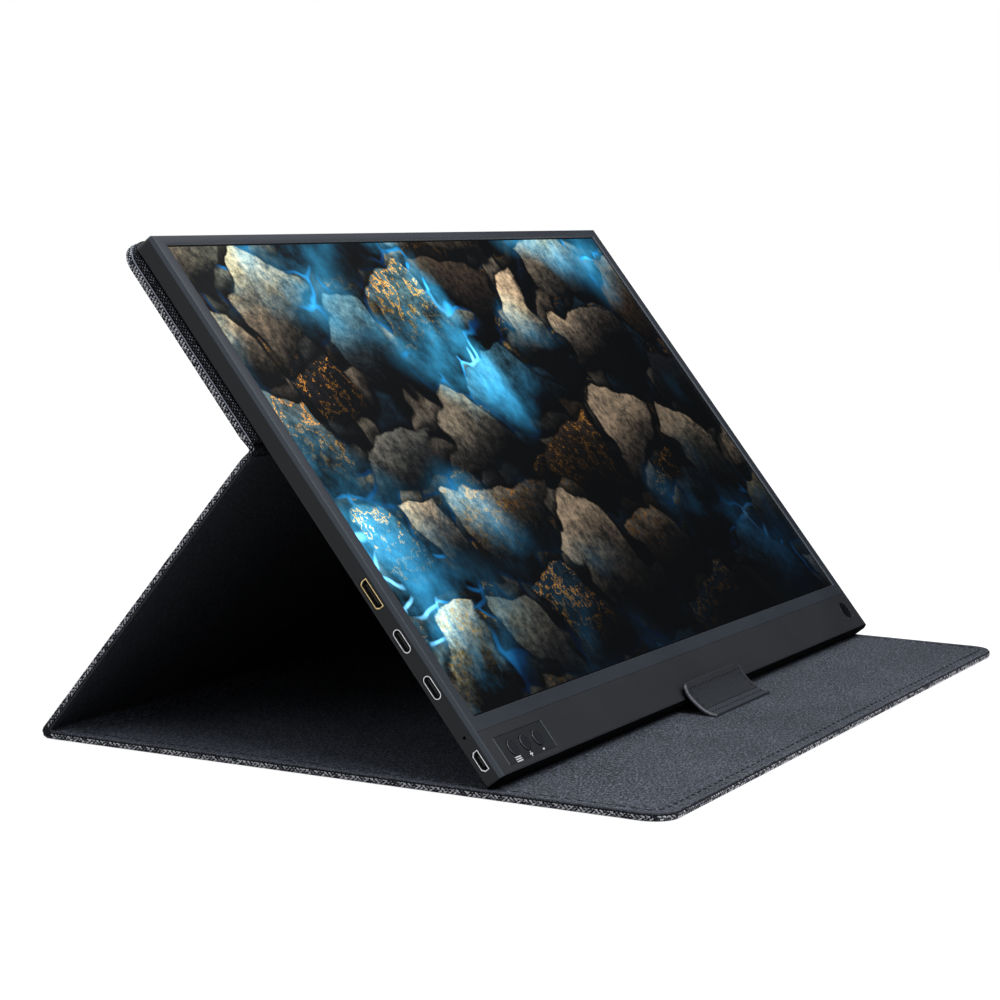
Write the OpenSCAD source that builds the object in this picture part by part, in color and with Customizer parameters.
// Portable monitor in a folding fabric cover that stands it up like an easel.
// Millimetres, +Z up, +X to the viewer's right, the screen faces -Y.
// The origin is the middle of the base panel's underside, on the table.

/* [Monitor body] */
// Thickness of the monitor body
body_t = 7.8; // [7.8:0.1:11]
// Corner radius of the body seen from the front
corner_r = 2.5; // [2:0.1:6]
// How far the front face stands in from the side walls
edge_in = 1; // [0.4:0.1:1.6]
// Height of the sloped edge between the side wall and the front face
edge_d = 1.6; // [1.2:0.1:1.8]
// Rounding between the sloped edge and the front face
edge_r = 0.5; // [0.2:0.1:0.8]
// Rounding of the rear edge
rear_r = 1.2; // [0.6:0.1:1.4]
// Thickness of the side walls
wall_t = 1.4; // [1.2:0.1:1.6]
// Thickness of the rear wall
floor_t = 1; // [0.8:0.1:1.1]
// Thickness of the front skin over the edge of the display
skin_t = 0.6; // [0.5:0.05:0.7]

/* [Display] */
// Width of the picture
screen_w = 344.2; // [300:0.1:390]
// Height of the picture
screen_h = 193.6; // [170:0.1:220]
// Black border between the picture and the window
border = 0.5; // [0.2:0.1:0.8]
// Width of the front frame above the window
bezel_top = 4.8; // [4:0.1:8]
// Width of the front frame beside the window
bezel_side = 6.4; // [6:0.1:12]
// Height of the front frame below the window, with the chin
bezel_foot = 23.6; // [23:0.1:30]
// Width of the sloped lip round the window
lip_w = 0.5; // [0.2:0.1:1]
// How far the display reaches past the window at its sides and top
cell_over = 2.4; // [1.5:0.1:2.6]
// How far the display reaches past the window at its bottom
cell_foot = 3.2; // [2:0.1:3.6]
// Thickness of the liquid-crystal glass
glass_t = 0.7; // [0.5:0.05:0.8]
// Thickness of the stack of diffuser films
films_t = 0.3; // [0.2:0.05:0.4]
// Thickness of the light guide
guide_t = 0.5; // [0.4:0.05:0.6]
// Thickness of the display frame's sheet
frame_t = 0.2; // [0.15:0.05:0.3]
// Thickness of the soft gasket between the glass and the front frame
gasket_t = 0.2; // [0.1:0.05:0.3]

/* [Chin and keys] */
// Height of the chin, from the body's lower edge to the seam
chin_h = 18.2; // [16.5:0.1:19]
// Thickness of the chin cover
chin_t = 0.9; // [0.8:0.05:1]
// Width of the sunk key plate
plate_w = 35.4; // [33:0.1:40]
// Height of the sunk key plate
plate_h = 10.8; // [9.5:0.1:12]
// Thickness of the key plate
plate_t = 0.45; // [0.3:0.05:0.5]
// How deep the key plate lies below the chin
plate_sink = 0.15; // [0.05:0.05:0.2]
// Middle of the key plate from the body's left side
plate_x = 25.8; // [22:0.1:60]
// Middle of the key plate above the body's lower edge
plate_y = 9; // [7:0.1:9.5]
// Diameter of a key
key_d = 6; // [4:0.1:7]
// Distance between keys
key_pitch = 9.25; // [8.8:0.05:11]
// How far the keys stand out of the chin
key_out = 0.3; // [0.1:0.05:0.6]
// Travel of a key
key_travel = 0.4; // [0.2:0.05:0.45]
// Diameter of the power key
power_d = 7.8; // [6:0.1:9]
// Middle of the power key from the body's right side
power_x = 12.7; // [11:0.1:30]
// Middle of the power key above the body's lower edge
power_y = 10.4; // [8:0.1:11]
// Diameter of an indicator window
light_d = 1; // [0.8:0.1:1.2]

/* [Sockets] */
// Height of the sockets' centre line above the rear face
port_z = 3.45; // [3.4:0.05:3.6]
// Middle of the video socket above the body's lower edge
video_y = 76; // [72:0.1:90]
// Middle of the upper round-ended socket
usb_a_y = 57.2; // [52:0.1:60]
// Middle of the lower round-ended socket
usb_b_y = 38.7; // [30:0.1:42]
// Middle of the small socket near the corner
micro_y = 9.6; // [8:0.1:12]
// Middle of the pinhole
pinhole_y = 18.9; // [17.5:0.1:24]
// Diameter of the pinhole
pinhole_d = 1.2; // [0.8:0.1:1.6]
// How far the socket mouths lie inside the side wall
port_sink = 0.3; // [0.1:0.1:0.8]
// Depth of a socket
port_depth = 7.4; // [6:0.1:9]
// Sheet thickness of a socket's shell
shell_t = 0.3; // [0.2:0.05:0.4]

/* [Boards] */
// Thickness of the circuit boards
board_t = 0.8; // [0.6:0.1:1]
// Width of the main board
main_w = 64; // [56:1:80]
// Height of the main board
main_h = 84; // [84:1:120]
// Height of a key switch
switch_h = 1.1; // [0.8:0.1:1.2]

/* [Cover] */
// Thickness of the base, kick and upper panels
panel_t = 3; // [2.8:0.1:4]
// Thickness of the woven outer fabric
fabric_t = 0.6; // [0.4:0.1:0.8]
// Thickness of the smooth lining
lining_t = 0.8; // [0.5:0.1:1]
// How far the cover stands past the monitor's sides
cover_side = 1; // [0.5:0.1:4]
// Depth of the base panel from its front edge to the rear fold
base_d = 245; // [225:1:290]
// Length of the kick panel from the rear fold to the crease
kick_len = 138.5; // [128:0.5:160]
// Height of the crease up the monitor, from its lower edge
crease_y = 140.5; // [130:0.5:150]
// How far the upper panel reaches past the monitor's top edge
upper_over = 4.1; // [2:0.1:12]
// Radius of the cover's free corners
cover_r = 10; // [5:0.5:20]
// Thickness of the mounting panel behind the monitor
mount_t = 2.6; // [2:0.1:4]
// Thickness of the adhesive strips on the monitor's back
tape_t = 0.3; // [0.2:0.05:0.6]
// Width of the soft spine behind the base board
spine_w = 13; // [10:0.5:18]

/* [Stop tab] */
// Width of the tab
tab_w = 55.5; // [40:0.5:90]
// Thickness of the tab
tab_t = 1.1; // [0.8:0.1:1.4]
// Radius of the tab's upward curve
tab_r = 16; // [15:0.5:22]
// Length of the sewn foot, from its front edge to the fold
foot_len = 5.6; // [4.5:0.1:7]
// Corner radius of the tab's free edge
tab_corner = 4; // [2:0.5:6]
// How far the tab's front edge lies ahead of the monitor's lower edge
tab_ahead = 12.6; // [12:0.1:14]
// Middle of the tab to the right of the cover's middle
tab_x = 0; // [-40:1:40]

/* [Stand] */
// Angle of the screen above the table
screen_angle = 51; // [46:0.5:56]

/* [Hidden] */
$fn = 48;

// Clearances
gap = 0.1;         // between pieces that are glued or screwed together
fit_gap = 0.2;     // round a socket or a key
rest_gap = 0.3;    // between pieces that lean on each other
tiny = 0.02;       // cuts run this far past a face

// Heights in the body, from the rear face
parting_z = body_t - edge_d;
skin_z = body_t - skin_t;
glass_z = skin_z - gasket_t - glass_t;
films_z = glass_z - films_t;
guide_z = films_z - guide_t;
cell_back = guide_z - frame_t;
board_z = port_z - board_t / 2 - 0.25;

// The window, the body round it and the display in the body
window_w = screen_w + 2 * border;
window_h = screen_h + 2 * border;
body_w = window_w + 2 * bezel_side;
body_h = window_h + bezel_top + bezel_foot;
window_top = body_h - bezel_top;
window_foot = window_top - window_h;
cell_w = window_w + 2 * cell_over;
cell_top = window_top + cell_over;
cell_bottom = window_foot - cell_foot;
cell_r = 0.8;
frame_wall = 0.5;
inner_w = cell_w - 2 * frame_wall - 2 * gap;
led_h = 1.6;

// Frame rim that drops inside the side walls
rim_t = 0.8;
rim_drop = 1.2;
notch_y = 4;

// The main board's corner and its posts
main_x0 = -body_w / 2 + wall_t + rim_t + 3 * gap;
main_y0 = wall_t + rim_t + 3 * gap;
post_d = 3;
post_in = 5;
main_posts = [
    [main_x0 + main_w - post_in, main_y0 + post_in],
    [main_x0 + main_w - post_in, main_y0 + main_h - post_in],
    [main_x0 + 4 * post_in, main_y0 + main_h - post_in],
    [main_x0 + 3 * post_in, usb_b_y - 2 * post_in]
];

// Row-driver board, its chips and the flat cables
driver_gap = 22;
driver_end = 45;
driver_x = main_x0 + main_w + driver_gap;
driver_w = cell_w / 2 - driver_end - driver_x;
driver_h = 9;
driver_t = 0.7;
driver_z = cell_back - gap - driver_t;
driver_chips = 8;
chip_w = 12;
chip_h = 3;
chip_t = 0.6;
chip_up = 0.4;      // chips start this far above the flat cable
flex_t = 0.2;
flex_w = 4;
flex_lap = 8;

// Ribs on the rear wall and catches along its upper edge
rib_t = 0.8;
rib_w = 34;
rib_h = 2;
rib_step = 45;
catch_w = 8;
catch_step = 52;

// Keys
key_x = -body_w / 2 + plate_x;
power_at = body_w / 2 - power_x;
flange_over = 0.7;
flange_t = 0.5;
stem_d = 2.6;
chin_floor = parting_z;
chin_z = body_t - chin_t;
flange_z = chin_floor - fit_gap - flange_t;
switch_top = board_z + board_t + switch_h;
stem_z = switch_top + key_travel + gap / 2;
dish_d = 0.35;
power_board_w = 24;
power_board_h = 12;
power_board_x = power_at + 9 - power_board_w;
power_board_y = power_y - 6.4;
power_flex_lap = 5;
power_post_x = power_at - 6;
power_posts = [[power_post_x, power_y - 3], [power_post_x, power_y + 3]];
light_step = 2.8;
light_y = power_y - 0.4;
light_x = power_at + power_d / 2 + flange_over + fit_gap + light_d / 2;

// Mouths of the sockets
video_w = 11.2;
video_h = 3.2;
usb_w = 8.94;
usb_h = 3.2;
micro_w = 7.5;
micro_h = 2.9;

// Screws through the rear wall into the chin
screw_d = 2;
screw_head_d = 3.6;
screw_head_t = 0.7;
boss_d = 5;
screw_y = 11;
screw_step = 55;
screw_x = body_w / 2 - main_w - 10;
screw_xs = [-screw_x, screw_step - screw_x, screw_x - screw_step, screw_x];

// Stand geometry: the crease, the rear fold and the angle of the kick panel
half_t = panel_t / 2;
upper_len = body_h - crease_y + upper_over;
cover_w = body_w + 2 * cover_side;
rear_fold_y = base_d / 2 - half_t;
base_len = base_d - half_t;
back_gap = mount_t + tape_t;
crease_z = panel_t + rest_gap + crease_y * sin(screen_angle)
    - (half_t + back_gap + rear_r) * cos(screen_angle);
kick_angle = asin((crease_z - half_t) / kick_len);
crease_at = [0, rear_fold_y - kick_len * cos(kick_angle), crease_z];
fold_angle = 180 - kick_angle - screen_angle;

// Where the layers of a panel stop short of a fold
fold_r = half_t - 0.3;
skin_start = fold_r;
board_start = half_t * 2;
lining_start = half_t / tan(kick_angle / 2) + 0.5;
crease_start = half_t + 0.3;
spine_gap = 1;
turn_w = 1.2;
lining_in = 0.3;
mount_in = 0.8;
strip_w = 50;
strip_in = 6;
strip_h = upper_len - crease_start - turn_w - 4 * strip_in;

// Lower front edge of the chin, where the tab leans
chin_edge_y = crease_at.y + (edge_in - crease_y) * cos(screen_angle)
    - (half_t + back_gap + body_t) * sin(screen_angle);
tab_front_y = chin_edge_y - tab_ahead;
foot_angle = foot_len / tab_r * 180 / PI;
web_gap = 1;
web_angle = web_gap / tab_r * 180 / PI;
tab_end_angle = 64;
tab_base_z = panel_t + tab_t / 2;
tab_pivot = [tab_x, tab_front_y + tab_r * sin(foot_angle), tab_base_z + tab_r * (1 - cos(foot_angle))];

// ---- shapes ----

function arc_points(x, y, r, from, to, n = 6) =
    [for (i = [0 : n]) [x + r * cos(from + (to - from) * i / n), y + r * sin(from + (to - from) * i / n)]];

function mirrored(points) = [for (i = [len(points) - 1 : -1 : 0]) [-points[i].x, points[i].y]];

// Cross-section of the body across its width or height w
function body_profile(w) =
    let (slope = atan2(edge_d, edge_in))
    let (inward = edge_r * tan(slope / 2))
    let (side = concat(
        arc_points(w / 2 - rear_r, rear_r, rear_r, -90, 0),
        [[w / 2, parting_z]],
        arc_points(w / 2 - edge_in - inward, body_t - edge_r, edge_r, 90 - slope, 90, 4)))
    concat(side, mirrored(side));

// Rectangle centred on x, from y = from to y = to, with rounded corners
module rounded(w, from, to, r) {
    translate([-w / 2 + r, from])
        square([w - 2 * r, to - from]);
    translate([-w / 2, from + r])
        square([w, to - from - 2 * r]);
    for (x = [-w / 2 + r, w / 2 - r], y = [from + r, to - r])
        translate([x, y])
            circle(r);
}

// Panel outline: square at the fold, rounded at the free end
module leaf(w, from, to, r) {
    translate([-w / 2, from])
        square([w, to - from - r]);
    translate([-w / 2 + r, from])
        square([w - 2 * r, to - from]);
    for (x = [-w / 2 + r, w / 2 - r])
        translate([x, to - r])
            circle(r);
}

module slab(z, t) {
    translate([0, 0, z])
        linear_extrude(t)
            children();
}

// Extrudes a section drawn in x and height along the body's height
module along_y(from, to) {
    translate([0, to, 0])
        rotate([90, 0, 0])
            linear_extrude(to - from)
                children();
}

// Extrudes a section drawn in y and height along the width
module along_x(w) {
    translate([-w / 2, 0, 0])
        rotate([90, 0, 90])
            linear_extrude(w)
                children();
}

module peg(d, z, h, x = 0, y = 0) {
    translate([x, y, z])
        cylinder(d = d, h = h);
}

// ---- places ----

module at_base() {
    translate([0, rear_fold_y, half_t])
        rotate([0, 0, 180])
            children();
}

module at_kick() {
    translate([0, rear_fold_y, half_t])
        rotate([180 - kick_angle, 0, 0])
            children();
}

module at_upper() {
    translate(crease_at)
        rotate([screen_angle, 0, 0])
            children();
}

module at_body() {
    at_upper()
        translate([0, -crease_y, half_t + back_gap])
            children();
}

// ---- cover panels: the outer fabric is below, the lining on top ----

// Fabric skin with turned-up edges, which stop short of the fold
module panel_fabric(from, edge_from, to, height) {
    difference() {
        union() {
            slab(-half_t, fabric_t)
                leaf(cover_w, from, to, cover_r);
            slab(-half_t, height)
                leaf(cover_w, edge_from, to, cover_r);
        }
        slab(-half_t + fabric_t, height)
            leaf(cover_w - 2 * turn_w, from - tiny, to - turn_w, cover_r - turn_w);
    }
}

// Plain layer across the cover, square at both ends, set in at its sides
module sheet(z, t, inset, from, to) {
    slab(z, t)
        translate([-cover_w / 2 + inset, from])
            square([cover_w - 2 * inset, to - from]);
}

module base_fabric() {
    color("#2b2d36")
        at_base()
            panel_fabric(skin_start, lining_start, base_len, panel_t - lining_t);
}

module base_board() {
    color("#6d675c")
        at_base()
            slab(-half_t + fabric_t, panel_t - fabric_t - lining_t)
                leaf(cover_w - 2 * turn_w - 2 * gap, spine_w + board_start, base_len - turn_w - gap,
                    cover_r - turn_w - gap);
}

module spine_board() {
    color("#6d675c")
        at_base()
            sheet(-half_t + fabric_t, panel_t - fabric_t - lining_t, turn_w + gap, board_start,
                board_start + spine_w - spine_gap);
}

// The lining dips in a groove where the spine bends
module base_lining() {
    groove_y = spine_w + board_start - 0.5;
    color("#474c58")
        at_base()
            difference() {
                slab(half_t - lining_t, lining_t)
                    leaf(cover_w - 2 * lining_in, lining_start, base_len - lining_in, cover_r - lining_in);
                translate([-cover_w / 2, groove_y, half_t + 0.5])
                    rotate([0, 90, 0])
                        cylinder(r = 0.9, h = cover_w);
            }
}

module rear_fold() {
    color("#2b2d36")
        translate([-cover_w / 2, rear_fold_y, half_t])
            rotate([0, 90, 0])
                cylinder(r = fold_r - rest_gap / 2, h = cover_w);
}

module kick_fabric() {
    end = kick_len - crease_start;
    color("#2b2d36")
        at_kick()
            difference() {
                union() {
                    sheet(-half_t, fabric_t, 0, skin_start, end);
                    sheet(-half_t, panel_t - lining_t, 0, lining_start, end);
                }
                sheet(-half_t + fabric_t, panel_t, turn_w, skin_start - tiny, end + tiny);
            }
}

module kick_board() {
    color("#6d675c")
        at_kick()
            sheet(-half_t + fabric_t, panel_t - fabric_t - lining_t, turn_w + gap, board_start,
                kick_len - crease_start);
}

module kick_lining() {
    color("#33363f")
        at_kick()
            sheet(half_t - lining_t, lining_t, lining_in, lining_start, kick_len - crease_start);
}

module crease_fold() {
    color("#2b2d36")
        translate(crease_at - [cover_w / 2, 0, 0])
            rotate([0, 90, 0])
                cylinder(r = half_t - 0.2, h = cover_w);
}

module upper_fabric() {
    color("#2b2d36")
        at_upper()
            panel_fabric(crease_start, crease_start, upper_len, panel_t);
}

module upper_board() {
    color("#6d675c")
        at_upper()
            slab(-half_t + fabric_t, panel_t - fabric_t)
                leaf(cover_w - 2 * turn_w - 2 * gap, crease_start, upper_len - turn_w - gap,
                    cover_r - turn_w - gap);
}

// The mounting panel is a second fabric-covered board, a little smaller
module mount_fabric() {
    color("#353740")
        at_upper()
            difference() {
                slab(half_t, mount_t)
                    leaf(cover_w - 2 * mount_in, crease_start, upper_len - mount_in, cover_r - mount_in);
                slab(half_t + fabric_t, mount_t)
                    leaf(cover_w - 2 * mount_in - 2 * turn_w, crease_start + turn_w,
                        upper_len - mount_in - turn_w, cover_r - mount_in - turn_w);
            }
}

module mount_board() {
    inset = mount_in + turn_w + gap;
    color("#6d675c")
        at_upper()
            slab(half_t + fabric_t, mount_t - fabric_t)
                leaf(cover_w - 2 * inset, crease_start + turn_w + gap, upper_len - inset, cover_r - inset);
}

// Adhesive strips that hold the body on the mounting panel
module mount_tape() {
    for (x = [-1, 0, 1])
        color("#b9b6ad")
            at_upper()
                slab(half_t + mount_t, tape_t)
                    translate([x * body_w / 3 - strip_w / 2, crease_start + turn_w + strip_in])
                        square([strip_w, strip_h]);
}

// ---- stop tab: a leather flap sewn to the base, curving up to the chin ----

// Section of the curve between two angles, t thick
module tab_curve(from, to, t) {
    rim = concat(
        arc_points(0, 0, tab_r + t / 2, from - 90, to - 90, 12),
        arc_points(0, 0, tab_r - t / 2, to - 90, from - 90, 12));
    polygon(rim);
}

module at_tab() {
    translate([tab_x, tab_front_y, tab_base_z + tab_r])
        children();
}

module tab_foot() {
    last = foot_angle - web_angle;
    color("#343843") {
        at_tab()
            along_x(tab_w)
                polygon(concat(
                    [[0, -tab_r - tab_t / 2]],
                    [[tab_r * sin(last), -tab_r - tab_t / 2]],
                    arc_points(0, 0, tab_r - tab_t / 2, last - 90, -90, 6)));
        translate([tab_x - tab_w / 2, tab_pivot.y, tab_pivot.z])
            rotate([0, 90, 0])
                cylinder(d = tab_t - 0.2, h = tab_w);
    }
}

// The free edge has rounded corners, cut square to the flap's chord
module stop_tab() {
    first = foot_angle + web_angle;
    chord = 2 * tab_r * sin((tab_end_angle - foot_angle) / 2);
    lean = (foot_angle + tab_end_angle) / 2;
    color("#343843")
        intersection() {
            at_tab()
                along_x(tab_w)
                    tab_curve(first, tab_end_angle, tab_t);
            translate(tab_pivot)
                rotate([lean, 0, 0])
                    slab(-tab_r, 2 * tab_r)
                        leaf(tab_w, 0, chord, tab_corner);
        }
}

// ---- body shells ----

module body_block(from, to) {
    intersection() {
        slab(from, to - from)
            rounded(body_w, 0, body_h, corner_r);
        along_y(-1, body_h + 1)
            polygon(body_profile(body_w));
        translate([0, body_h / 2, 0])
            along_x(body_w + 2)
                polygon(body_profile(body_h));
    }
}

// Tray with open socket slots, screw bosses, board posts, a rib and catches
module rear_cover() {
    rib_y = chin_h + 0.6;
    catch_y = body_h - wall_t - rim_t - 2 * gap - 0.4;
    color("#23262c")
        at_body()
            difference() {
                union() {
                    difference() {
                        body_block(0, parting_z);
                        slab(floor_t, body_t)
                            rounded(body_w - 2 * wall_t, wall_t, body_h - wall_t, corner_r - wall_t + 0.2);
                    }
                    for (x = screw_xs)
                        peg(boss_d, floor_t - tiny, board_z - floor_t + tiny, x, screw_y);
                    for (p = main_posts)
                        peg(post_d, floor_t - tiny, board_z - floor_t - gap, p.x, p.y);
                    for (p = power_posts)
                        peg(post_d, floor_t - tiny, board_z - floor_t - gap, p.x, p.y);
                    for (x = [-2 : 2])
                        translate([x * rib_step - rib_w / 2, rib_y, floor_t - tiny])
                            cube([rib_w, rib_t, rib_h]);
                    for (x = [-2.5 : 2.5])
                        translate([x * catch_step - catch_w / 2, catch_y, floor_t - tiny])
                            cube([catch_w, rim_t + 0.7, rib_h]);
                }
                port_slots();
                for (x = screw_xs)
                    screw_cut(x);
            }
}

module port_slots() {
    start = -body_w / 2 - 1;
    long = wall_t + 1.6;
    place_port(video_y, start, long)
        video_outline(fit_gap);
    place_port(usb_a_y, start, long)
        usb_outline(fit_gap);
    place_port(usb_b_y, start, long)
        usb_outline(fit_gap);
    place_port(micro_y, start, long)
        micro_outline(fit_gap);
    translate([start, pinhole_y, port_z])
        rotate([0, 90, 0])
            cylinder(d = pinhole_d, h = long);
}

module screw_cut(x) {
    peg(screw_d + fit_gap, -1, body_t, x, screw_y);
    translate([x, screw_y, -tiny])
        cylinder(d1 = screw_head_d + fit_gap, d2 = screw_d + fit_gap, h = screw_head_t);
}

// Frame round the window, with a recess for the chin cover and a rim inside the walls
module front_bezel() {
    color("#3a3e47")
        at_body()
            difference() {
                union() {
                    body_block(parting_z + gap / 2, body_t);
                    slab(parting_z - rim_drop, rim_drop + gap)
                        difference() {
                            rounded(body_w - 2 * wall_t - 2 * gap, wall_t + gap, body_h - wall_t - gap,
                                corner_r - wall_t);
                            rounded(body_w - 2 * (wall_t + gap + rim_t), wall_t + gap + rim_t,
                                body_h - wall_t - gap - rim_t, 0.3);
                        }
                    for (x = screw_xs)
                        peg(boss_d, board_z + gap, parting_z - board_z, x, screw_y);
                }
                slab(parting_z - rim_drop - 1, skin_z - parting_z + rim_drop + 1)
                    rounded(cell_w + 4 * gap, cell_bottom - 2 * gap, cell_top + 2 * gap, cell_r);
                window_cut();
                chin_recess();
                for (i = [-1 : 1])
                    peg(key_d + 2 * fit_gap, 0, body_t + 1, key_x + i * key_pitch, plate_y);
                peg(power_d + 2 * fit_gap, 0, body_t + 1, power_at, power_y);
                for (i = [0, 1])
                    peg(light_d + gap, 0, body_t + 1, light_x, light_y - i * light_step);
                for (x = screw_xs)
                    peg(screw_d - 0.3, 0, chin_floor - 0.3, x, screw_y);
                rim_notches();
            }
}

// The rim opens for the sockets and the key plungers
module rim_notches() {
    translate([-body_w / 2 + wall_t, notch_y, parting_z - rim_drop - 1])
        cube([4, video_y + video_w - notch_y + 5, rim_drop + 1]);
}

// Window with a sloped lip: two wedge prisms that meet in mitred corners
module window_cut() {
    depth = skin_t + tiny;
    intersection() {
        along_y(0, body_h)
            polygon(wedge(window_w / 2, depth));
        translate([0, (window_top + window_foot) / 2, 0])
            along_x(body_w)
                polygon(wedge(window_h / 2, depth));
    }
    slab(skin_z - 1, 1 + tiny)
        rounded(window_w, window_foot, window_top, 0.2);
}

function wedge(half, depth) =
    let (low = body_t - depth)
    let (high = body_t + tiny)
    [[-half, low], [half, low], [half + lip_w, high], [-half - lip_w, high]];

module chin_recess() {
    slab(chin_z, chin_t + 1)
        rounded(body_w - 2 * edge_in - 2 * edge_r, edge_in + edge_r, chin_h, 1);
}

module chin_cover() {
    color("#2c3037")
        at_body()
            difference() {
                slab(chin_z + gap / 2, chin_t - gap / 2)
                    rounded(body_w - 2 * edge_in - 2 * edge_r - 2 * gap, edge_in + edge_r + gap,
                        chin_h - gap, 1);
                slab(body_t - plate_t - plate_sink, body_t)
                    plate_outline(0);
                for (i = [-1 : 1])
                    peg(key_d + 2 * fit_gap, 0, body_t + 1, key_x + i * key_pitch, plate_y);
                peg(power_d + 2 * fit_gap, 0, body_t + 1, power_at, power_y);
                for (i = [0, 1])
                    peg(light_d + gap, 0, body_t + 1, light_x, light_y - i * light_step);
            }
}

module plate_outline(inset) {
    translate([key_x, plate_y])
        rounded(plate_w - 2 * inset, -plate_h / 2 + inset, plate_h / 2 - inset, 0.6);
}

module key_plate() {
    color("#24272d")
        at_body()
            difference() {
                slab(body_t - plate_t - plate_sink + gap / 2, plate_t - gap / 2)
                    plate_outline(gap);
                for (i = [-1 : 1])
                    peg(key_d + 2 * fit_gap, 0, body_t + 1, key_x + i * key_pitch, plate_y);
            }
}

// ---- keys: a cap, a flange that holds it in and a stem above its switch ----

module key_body(x, y, d, top) {
    edge = 0.25;
    at_body()
        translate([x, y, 0])
            rotate_extrude()
                polygon(concat(
                    [[0, stem_z], [stem_d / 2, stem_z], [stem_d / 2, flange_z]],
                    [[d / 2 + flange_over, flange_z], [d / 2 + flange_over, flange_z + flange_t]],
                    [[d / 2, flange_z + flange_t]],
                    arc_points(d / 2 - edge, top - edge, edge, 0, 90, 3),
                    [[0, top]]));
}

module menu_key() {
    color("#2e323a")
        key_body(key_x - key_pitch, plate_y, key_d, body_t + key_out);
}

module plus_key() {
    color("#2e323a")
        key_body(key_x, plate_y, key_d, body_t + key_out);
}

module minus_key() {
    color("#2e323a")
        key_body(key_x + key_pitch, plate_y, key_d, body_t + key_out);
}

// The power key is dished and lies level with the chin
module power_key() {
    edge = 0.2;
    rise = power_d * power_d / 8 / dish_d;
    color("#15171b")
        at_body()
            translate([power_at, power_y, 0])
                difference() {
                    rotate_extrude()
                        polygon(concat(
                            [[0, stem_z], [stem_d / 2, stem_z], [stem_d / 2, flange_z]],
                            [[power_d / 2 + flange_over, flange_z]],
                            [[power_d / 2 + flange_over, flange_z + flange_t]],
                            [[power_d / 2, flange_z + flange_t]],
                            arc_points(power_d / 2 - edge, body_t - edge, edge, 0, 90, 3),
                            [[0, body_t]]));
                    translate([0, 0, body_t - dish_d + rise])
                        sphere(r = rise, $fn = 96);
                }
}

module indicator_pipes() {
    foot_z = switch_top - 0.3;
    color("#c9d2d6")
        at_body()
            for (i = [0, 1])
                peg(light_d, foot_z, body_t - foot_z, light_x, light_y - i * light_step);
}

// ---- display ----

module lcd_glass() {
    color("#0d2c3c")
        at_body()
            slab(glass_z, glass_t)
                rounded(cell_w, cell_bottom, cell_top, cell_r);
}

module panel_gasket() {
    color("#1a1a1c")
        at_body()
            slab(skin_z - gasket_t, gasket_t - 0.02)
                difference() {
                    rounded(cell_w, cell_bottom, cell_top, cell_r);
                    rounded(window_w + 1.4, window_foot - 1.2, window_top + 0.7, 0.3);
                }
}

module inner_sheet(z, t, foot) {
    at_body()
        slab(z, t)
            rounded(inner_w, cell_bottom + frame_wall + gap + foot, cell_top - frame_wall - gap, 0.4);
}

module diffuser_films() {
    color("#e8ecee")
        inner_sheet(films_z, films_t, 0);
}

module light_guide() {
    color("#d7e6ea")
        inner_sheet(guide_z, guide_t, led_h + 2 * gap);
}

module led_strip() {
    strip_y = cell_bottom + frame_wall + gap;
    color("#f2e7b4")
        at_body()
            slab(guide_z, guide_t)
                translate([-inner_w / 2, strip_y])
                    square([inner_w, led_h]);
}

module panel_frame() {
    color("#9aa0a6")
        at_body()
            difference() {
                slab(cell_back, glass_z - cell_back)
                    rounded(cell_w, cell_bottom, cell_top, cell_r);
                slab(guide_z, body_t)
                    rounded(cell_w - 2 * frame_wall, cell_bottom + frame_wall, cell_top - frame_wall, 0.4);
            }
}

// Row-driver board folded behind the display's lower edge, with its chips
module driver_board() {
    pitch = driver_w / driver_chips;
    color("#1e5a3c")
        at_body() {
            slab(driver_z, driver_t)
                translate([driver_x, cell_bottom + 1])
                    square([driver_w, driver_h]);
            for (i = [0 : driver_chips - 1])
                translate([driver_x + (i + 0.5) * pitch - chip_w / 2, cell_bottom + 1 + flex_w + chip_up, driver_z - chip_t])
                    cube([chip_w, chip_h, chip_t + 0.01]);
        }
}

// Flat cable from the driver board to the main board
module display_flex() {
    from_x = main_x0 + main_w - flex_lap;
    to_x = driver_x + flex_lap;
    low_z = board_z + board_t;
    low_bend = from_x + flex_lap;
    high_bend = to_x - flex_lap + flex_t;
    color("#c98a3a")
        at_body()
            translate([0, cell_bottom + 1 + flex_w, 0])
                rotate([90, 0, 0])
                    linear_extrude(flex_w)
                        polygon([
                            [from_x, low_z], [low_bend, low_z], [high_bend, driver_z - flex_t],
                            [to_x, driver_z - flex_t], [to_x, driver_z], [high_bend - flex_t, driver_z],
                            [low_bend - flex_t, low_z + flex_t], [from_x, low_z + flex_t]]);
}

// ---- boards ----

// The board is notched round the sockets, which sit half through it
module main_board() {
    reach = port_depth + port_sink + 0.4;
    color("#17603f")
        at_body()
            slab(board_z, board_t)
                difference() {
                    translate([main_x0, main_y0])
                        square([main_w, main_h]);
                    for (p = [[video_y, video_w], [usb_a_y, usb_w], [usb_b_y, usb_w], [micro_y, micro_w]])
                        translate([-body_w / 2, p[0] - p[1] / 2 - gap])
                            square([reach, p[1] + 2 * gap]);
                }
}

// Folded lid over the video chips
module shield_can() {
    can_w = 28;
    can_h = 24;
    can_d = min(1.2, cell_back - board_z - board_t - gap);
    sheet = 0.2;
    color("#b4b7ba")
        at_body()
            translate([main_x0 + main_w - can_w - 10, usb_b_y - 4, board_z + board_t])
                difference() {
                    cube([can_w, can_h, can_d]);
                    translate([sheet, sheet, -tiny])
                        cube([can_w - 2 * sheet, can_h - 2 * sheet, can_d - sheet]);
                }
}

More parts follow.
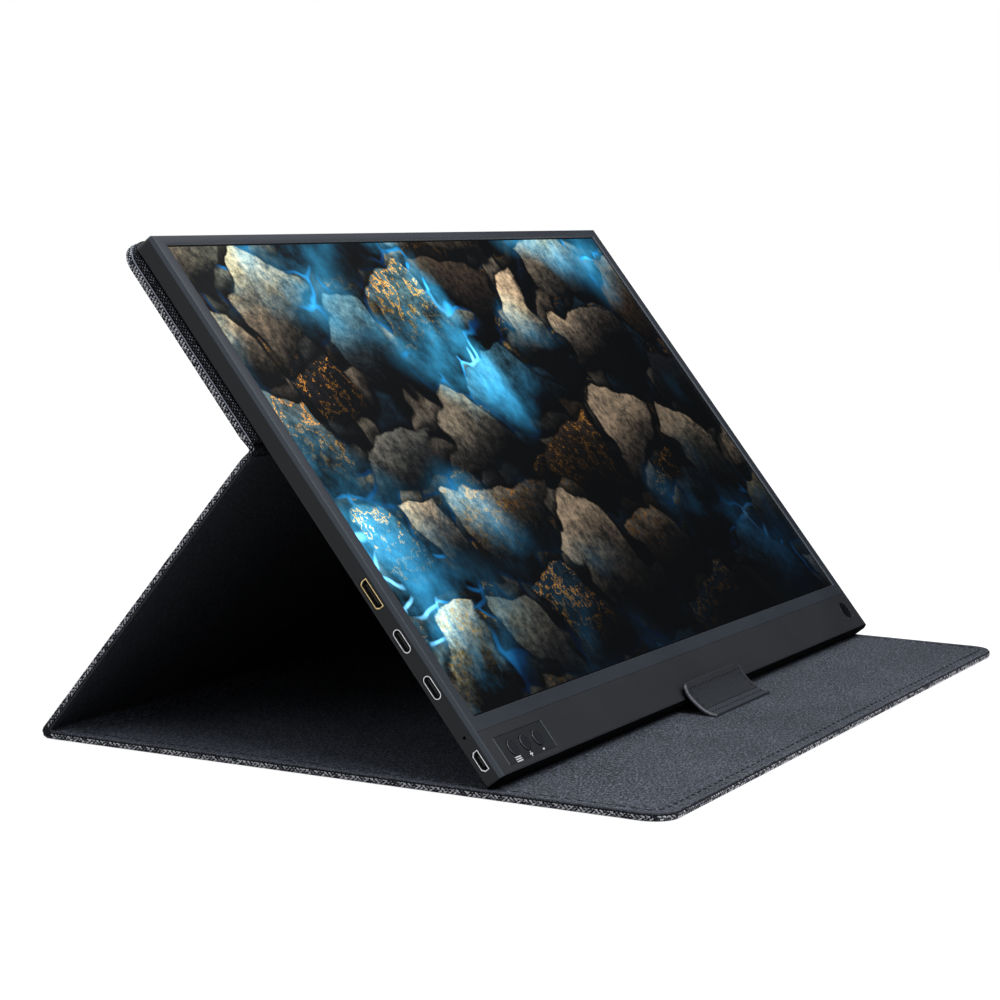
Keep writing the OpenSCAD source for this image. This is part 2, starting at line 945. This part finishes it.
module key_switch(x, y) {
    body = 3.8;
    translate([x - body / 2, y - body / 2, board_z + board_t])
        cube([body, body, switch_h - 0.3]);
    peg(1.8, board_z + board_t, switch_h, x, y);
}

module key_switches() {
    color("#c2c4c6")
        at_body()
            for (i = [-1 : 1])
                key_switch(key_x + i * key_pitch, plate_y);
}

module power_switch() {
    color("#c2c4c6")
        at_body()
            key_switch(power_at, power_y);
}

module power_board() {
    color("#17603f")
        at_body()
            slab(board_z, board_t)
                translate([power_board_x, power_board_y])
                    square([power_board_w, power_board_h]);
}

// Flat cable along the chin between the two boards
module key_flex() {
    from_x = main_x0 + main_w - flex_lap;
    to_x = power_board_x + power_flex_lap;
    color("#c98a3a")
        at_body()
            slab(board_z + board_t, flex_t)
                translate([from_x, main_y0 + 1.6])
                    square([to_x - from_x, flex_w - 1]);
}

// ---- sockets: drawn across the width of the mouth (x) and its height (y) ----

module place_port(y, x, long) {
    translate([x, y, port_z])
        rotate([90, 0, 90])
            linear_extrude(long)
                children();
}

module usb_outline(grow) {
    h = usb_h + 2 * grow;
    w = usb_w + 2 * grow;
    translate([-(w - h) / 2, -h / 2])
        square([w - h, h]);
    for (x = [-1, 1])
        translate([x * (w - h) / 2, 0])
            circle(h / 2);
}

// Wide mouth with a narrower lower half
module video_outline(grow) {
    w = video_w / 2 + grow;
    h = video_h / 2 + grow;
    step = 0.8;
    polygon([[-w, h], [-w, -h + step + 0.3], [-w + step, -h], [w - step, -h], [w, -h + step + 0.3], [w, h]]);
}

module micro_outline(grow) {
    w = micro_w / 2 + grow;
    h = micro_h / 2 + grow;
    cut = 1;
    polygon([[-w, h], [-w, -h + cut], [-w + cut, -h], [w - cut, -h], [w, -h + cut], [w, h]]);
}

// Folded shell with a closed back
module socket(y, w) {
    mouth = -body_w / 2 + port_sink;
    difference() {
        place_port(y, mouth, port_depth)
            children(0);
        place_port(y, mouth - tiny, port_depth - 0.8)
            children(1);
    }
    place_port(y, mouth + 0.8, port_depth - 1)
        translate([-w / 2, -0.35])
            square([w, 0.7]);
}

module video_socket() {
    color("#c9a55a")
        at_body()
            socket(video_y, video_w - 3) {
                video_outline(0);
                video_outline(-shell_t);
            }
}

module usb_socket_upper() {
    color("#b9bcc0")
        at_body()
            socket(usb_a_y, usb_w - 2.4) {
                usb_outline(0);
                usb_outline(-shell_t);
            }
}

module usb_socket_lower() {
    color("#b9bcc0")
        at_body()
            socket(usb_b_y, usb_w - 2.4) {
                usb_outline(0);
                usb_outline(-shell_t);
            }
}

module micro_socket() {
    color("#b9bcc0")
        at_body()
            socket(micro_y, micro_w - 3.4) {
                micro_outline(0);
                micro_outline(-shell_t);
            }
}

// ---- fasteners ----

module case_screws() {
    color("#5b5e63")
        at_body()
            for (x = screw_xs)
                translate([x, screw_y, 0])
                    difference() {
                        union() {
                            cylinder(d1 = screw_head_d, d2 = screw_d - 0.4, h = screw_head_t);
                            cylinder(d = screw_d - 0.4, h = chin_floor - 0.6);
                        }
                        for (a = [0, 90])
                            rotate([0, 0, a])
                                translate([-0.9, -0.2, -tiny])
                                    cube([1.8, 0.4, 0.4]);
                    }
}

base_fabric();
base_board();
spine_board();
base_lining();
rear_fold();
tab_foot();
stop_tab();
kick_fabric();
kick_board();
kick_lining();
crease_fold();
upper_fabric();
upper_board();
mount_fabric();
mount_board();
mount_tape();
rear_cover();
front_bezel();
chin_cover();
key_plate();
menu_key();
plus_key();
minus_key();
power_key();
indicator_pipes();
lcd_glass();
panel_gasket();
diffuser_films();
light_guide();
led_strip();
panel_frame();
driver_board();
display_flex();
main_board();
shield_can();
key_switches();
power_board();
power_switch();
key_flex();
video_socket();
usb_socket_upper();
usb_socket_lower();
micro_socket();
case_screws();
